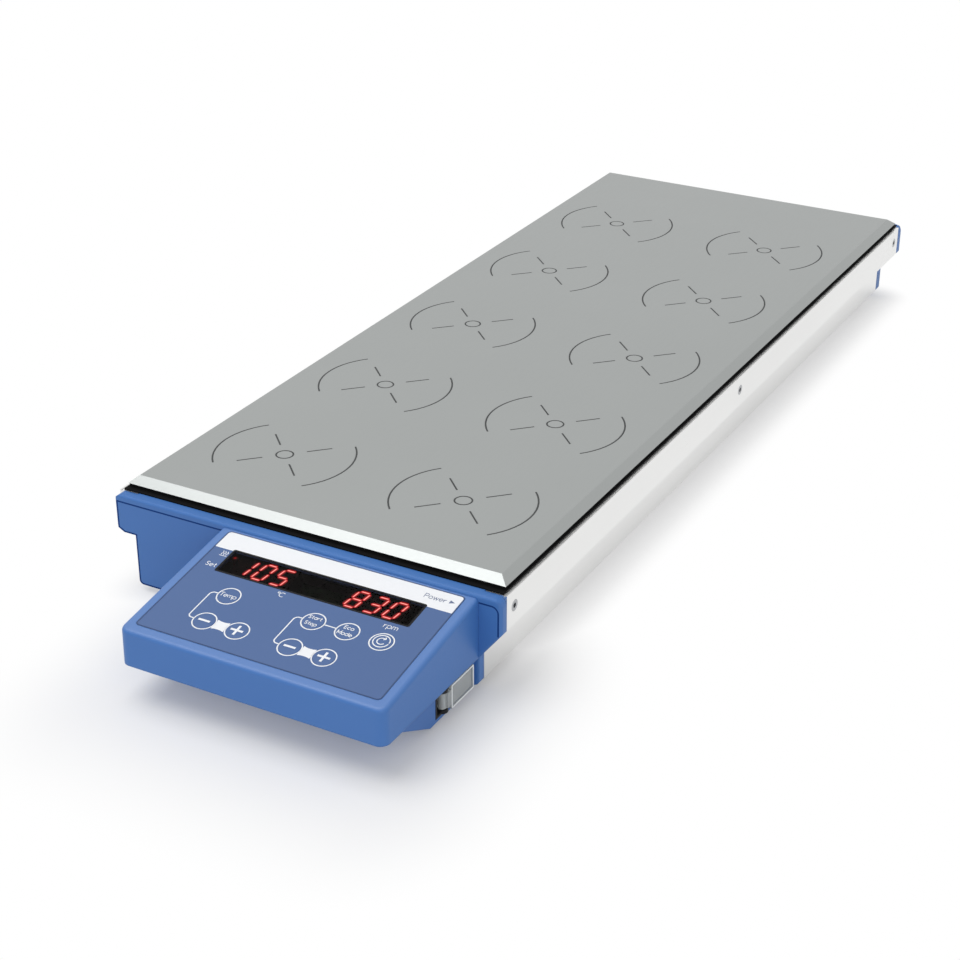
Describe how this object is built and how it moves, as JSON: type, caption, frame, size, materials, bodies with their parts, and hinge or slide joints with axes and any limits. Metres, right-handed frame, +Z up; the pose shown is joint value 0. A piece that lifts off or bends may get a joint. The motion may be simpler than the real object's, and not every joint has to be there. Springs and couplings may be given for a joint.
{
  "type": "multi-position magnetic stirrer",
  "caption": "Long flat multi-position magnetic stirrer: marked steel plate over drive coils, aluminium side rails, blue end caps and a sloped keypad console with display.",
  "frame": {"origin": "on the floor under the middle of the part's bounding box", "axes": "+Z up, +Y from the console to the rear, +X to the right seen from the console"},
  "size_m": [0.1888, 0.5612, 0.05],
  "materials": {
    "steel_plate": "fine matt brushed stainless steel",
    "mark_ink": "dark fired print, flush",
    "seal_rubber": "matt black silicone",
    "anodised_aluminium": "satin clear anodised extrusion",
    "sheet_aluminium": "mill finish sheet",
    "blue_abs": "fine-textured moulded plastic, blue",
    "belly_abs": "fine-textured moulded plastic, deeper blue",
    "overlay_film": "satin printed polyester film",
    "key_film": "satin printed polyester, embossed",
    "window_acrylic": "dark tinted clear acrylic",
    "led_red": "lit red diffuser",
    "black_plastic": "moulded black plastic",
    "rocker_plastic": "glossy moulded black plastic",
    "clear_plastic": "clear moulded plastic",
    "foot_rubber": "matt black rubber",
    "screw_steel": "bright zinc-plated steel",
    "inlet_brass": "plated brass",
    "coil_copper": "enamelled copper wire",
    "soft_iron": "laminated soft iron",
    "circuit_board": "green solder mask",
    "heater_film": "amber polyimide film",
    "insulation_felt": "ceramic fibre felt",
    "cable_pvc": "flexible cable sheath"
  },
  "bodies": {
    "stirrer": {"top_plate": "steel_plate", "position_marks": "mark_ink", "plate_seal": "seal_rubber", "side_rail_left": "anodised_aluminium", "side_rail_right": "anodised_aluminium", "base_tray": "sheet_aluminium", "yoke_brackets": "sheet_aluminium", "supply_heatsink": "sheet_aluminium", "front_end_cap": "blue_abs", "rear_end_cap": "blue_abs", "console_shell": "blue_abs", "console_cover": "belly_abs", "keypad_overlay": "overlay_film", "display_window": "window_acrylic", "digit_segments": "led_red", "status_lamp": "led_red", "digit_modules": "black_plastic", "switch_frame": "black_plastic", "mains_inlet": "black_plastic", "driver_modules": "black_plastic", "controller_chip": "black_plastic", "ribbon_headers": "black_plastic", "thermal_cutout": "black_plastic", "smoothing_capacitors": "black_plastic", "tact_switches": "black_plastic", "feet": "foot_rubber", "foot_screws": "screw_steel", "side_screws": "screw_steel", "console_screws": "screw_steel", "cover_screws": "screw_steel", "board_screws": "screw_steel", "rocker_pin": "screw_steel", "flap_pin": "screw_steel", "plate_sensor": "screw_steel", "mains_fuse": "screw_steel", "inlet_blades": "inlet_brass", "yoke_spacers": "inlet_brass", "board_spacers": "inlet_brass", "coil_windings": "coil_copper", "coil_cores": "soft_iron", "yoke_plate": "soft_iron", "mains_transformer": "soft_iron", "drive_board": "circuit_board", "supply_board": "circuit_board", "display_board": "circuit_board", "heater_foil": "heater_film", "insulation_sheet": "insulation_felt", "wiring_loom": "cable_pvc", "ribbon_cable": "cable_pvc"},
    "key_temp_body": {"key_temp": "key_film"},
    "key_temp_minus_body": {"key_temp_minus": "key_film"},
    "key_temp_plus_body": {"key_temp_plus": "key_film"},
    "key_start_stop_body": {"key_start_stop": "key_film"},
    "key_eco_body": {"key_eco": "key_film"},
    "key_reverse_body": {"key_reverse": "key_film"},
    "key_speed_minus_body": {"key_speed_minus": "key_film"},
    "key_speed_plus_body": {"key_speed_plus": "key_film"},
    "rocker": {"power_rocker": "rocker_plastic"},
    "flap": {"switch_flap": "clear_plastic"}
  },
  "joints": [
    {"name": "key_temp_press", "type": "slide", "parent": "stirrer", "child": "key_temp_body", "axis": [0, 0.1572, -0.9876], "range_m": [0, 0.0004], "stiffness_N_per_m": 2000},
    {"name": "key_temp_minus_press", "type": "slide", "parent": "stirrer", "child": "key_temp_minus_body", "axis": [0, 0.1572, -0.9876], "range_m": [0, 0.0004], "stiffness_N_per_m": 2000},
    {"name": "key_temp_plus_press", "type": "slide", "parent": "stirrer", "child": "key_temp_plus_body", "axis": [0, 0.1572, -0.9876], "range_m": [0, 0.0004], "stiffness_N_per_m": 2000},
    {"name": "key_start_stop_press", "type": "slide", "parent": "stirrer", "child": "key_start_stop_body", "axis": [0, 0.1572, -0.9876], "range_m": [0, 0.0004], "stiffness_N_per_m": 2000},
    {"name": "key_eco_press", "type": "slide", "parent": "stirrer", "child": "key_eco_body", "axis": [0, 0.1572, -0.9876], "range_m": [0, 0.0004], "stiffness_N_per_m": 2000},
    {"name": "key_reverse_press", "type": "slide", "parent": "stirrer", "child": "key_reverse_body", "axis": [0, 0.1572, -0.9876], "range_m": [0, 0.0004], "stiffness_N_per_m": 2000},
    {"name": "key_speed_minus_press", "type": "slide", "parent": "stirrer", "child": "key_speed_minus_body", "axis": [0, 0.1572, -0.9876], "range_m": [0, 0.0004], "stiffness_N_per_m": 2000},
    {"name": "key_speed_plus_press", "type": "slide", "parent": "stirrer", "child": "key_speed_plus_body", "axis": [0, 0.1572, -0.9876], "range_m": [0, 0.0004], "stiffness_N_per_m": 2000},
    {"name": "rocker_tilt", "type": "hinge", "parent": "stirrer", "child": "rocker", "pos_m": [0.075, -0.2236, 0.00985], "axis": [0, 0, 1], "range_deg": [0, 20]},
    {"name": "flap_swing", "type": "hinge", "parent": "stirrer", "child": "flap", "pos_m": [0.0815, -0.2333, 0.00985], "axis": [0, 0, -1], "range_deg": [0, 100]}
  ]
}
